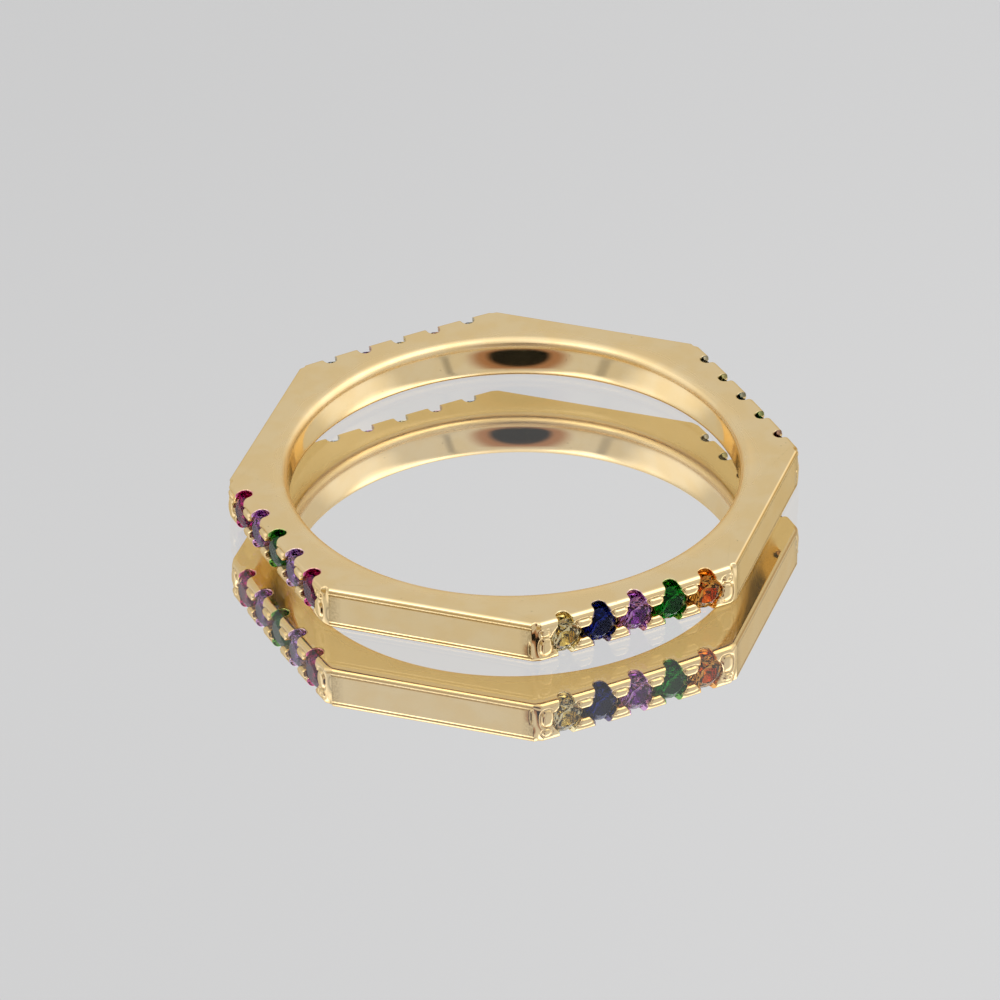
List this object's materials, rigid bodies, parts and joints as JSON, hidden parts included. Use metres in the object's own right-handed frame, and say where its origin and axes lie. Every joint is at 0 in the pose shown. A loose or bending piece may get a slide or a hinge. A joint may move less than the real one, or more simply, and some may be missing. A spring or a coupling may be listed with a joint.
{
  "type": "ring",
  "caption": "Narrow eight-sided finger ring with a round bore, its sides by turns plain and set with a row of small round brilliant stones in mixed colours.",
  "frame": {"origin": "middle of the underside, on the bore's axis, with the ring lying on its side", "axes": "+Z along the bore, -Y out of the middle of the front set row, +X out of the right set row"},
  "size_m": [0.0206, 0.0206, 0.0017],
  "materials": {
    "gold_plate": "polished gold plate",
    "stone_champagne": "faceted, polished",
    "stone_sapphire": "faceted, polished",
    "stone_amethyst": "faceted, polished",
    "stone_emerald": "faceted, polished",
    "stone_orange": "faceted, polished",
    "stone_plum": "faceted, polished",
    "stone_teal": "faceted, polished",
    "stone_olive": "faceted, polished",
    "stone_grey_green": "faceted, polished",
    "stone_steel_blue": "faceted, polished",
    "stone_rose": "faceted, polished",
    "stone_ruby": "faceted, polished",
    "stone_lilac": "faceted, polished"
  },
  "bodies": {
    "root": {"band": "gold_plate", "stone_front_1": "stone_champagne", "stone_front_2": "stone_sapphire", "stone_front_3": "stone_amethyst", "stone_front_4": "stone_emerald", "stone_front_5": "stone_orange", "stone_right_1": "stone_plum", "stone_right_2": "stone_emerald", "stone_right_3": "stone_teal", "stone_right_4": "stone_olive", "stone_right_5": "stone_grey_green", "stone_back_1": "stone_steel_blue", "stone_back_2": "stone_rose", "stone_back_3": "stone_champagne", "stone_back_4": "stone_amethyst", "stone_back_5": "stone_steel_blue", "stone_left_1": "stone_ruby", "stone_left_2": "stone_amethyst", "stone_left_3": "stone_emerald", "stone_left_4": "stone_lilac", "stone_left_5": "stone_ruby"}
  },
  "joints": []
}
